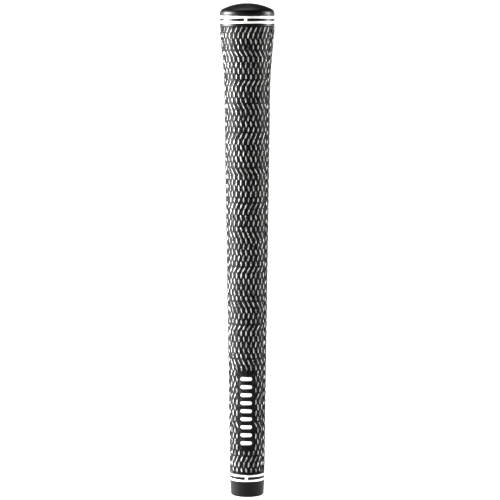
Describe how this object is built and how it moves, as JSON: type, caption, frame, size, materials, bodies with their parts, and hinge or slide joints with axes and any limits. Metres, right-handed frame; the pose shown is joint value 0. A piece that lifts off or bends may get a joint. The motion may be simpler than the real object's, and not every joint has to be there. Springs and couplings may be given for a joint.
{
  "type": "golf grip",
  "caption": "Slip-on corded rubber golf grip: tapered sleeve with a blind shaft bore, domed vented end cap, white filled rings and plain marks.",
  "frame": {"origin": "on the shaft bore's axis, at the end face of the mouth", "axes": "+Z along the bore, from the mouth to the domed end cap; the marked front faces -Y; +X to the right seen from the front"},
  "size_m": [0.0294, 0.0294, 0.267],
  "materials": {
    "cap_rubber": "moulded satin",
    "sleeve_rubber": "moulded satin",
    "collar_rubber": "smooth satin",
    "corded_rubber": "ground corded rubber, matte",
    "white_fill": "flexible white paint, satin"
  },
  "bodies": {
    "root": {"butt_cap": "cap_rubber", "inner_sleeve": "sleeve_rubber", "butt_collar": "collar_rubber", "mouth_collar": "collar_rubber", "cord_panel_front": "corded_rubber", "cord_panel_back": "corded_rubber", "butt_ring_lower": "white_fill", "butt_ring_upper": "white_fill", "butt_index_bar": "white_fill", "mouth_ring_lower": "white_fill", "mouth_ring_upper": "white_fill", "mouth_index_bar": "white_fill", "motif_bars": "white_fill"}
  },
  "joints": []
}
